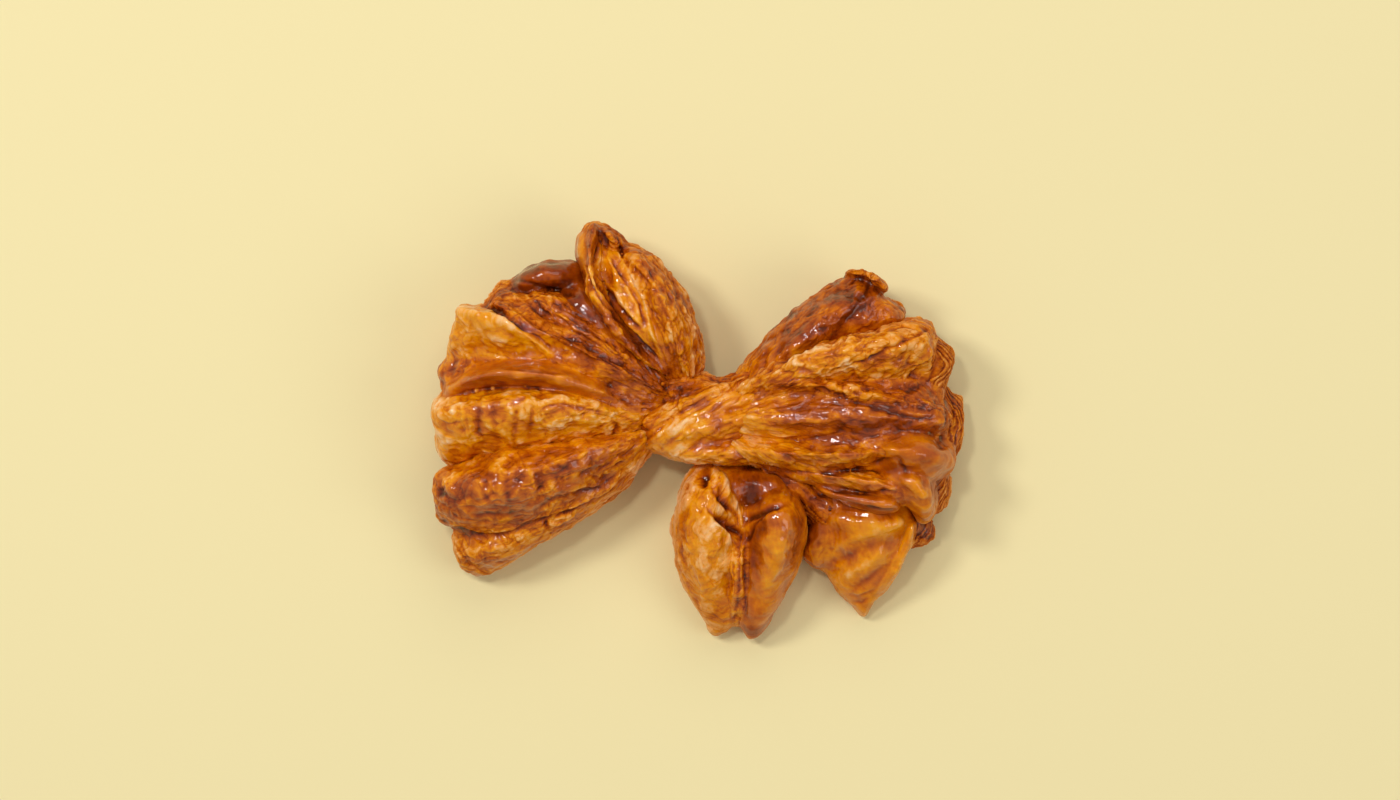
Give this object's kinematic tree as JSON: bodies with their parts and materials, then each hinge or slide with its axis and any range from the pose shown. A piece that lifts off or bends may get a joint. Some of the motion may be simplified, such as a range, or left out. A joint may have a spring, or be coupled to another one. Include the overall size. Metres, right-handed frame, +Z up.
{
  "type": "caramel croissant",
  "caption": "Bow-tie shaped croissant of puff pastry: two fans of puffed, caramel-glazed pleats joined by a twisted waist, with a flat underside.",
  "frame": {"origin": "on the table, under the middle of the pastry's outline", "axes": "+X along the length of the bow, from the fan with the tall leaf-shaped pleat to the fan with the two split petals; +Y in the table plane, towards the side where the leaf points; +Z up from the table"},
  "size_m": [0.1616, 0.1276, 0.0465],
  "materials": {
    "crust": "baked golden to dark brown crust under a glossy caramel glaze"
  },
  "bodies": {
    "root": {"croissant": "crust"}
  },
  "joints": []
}
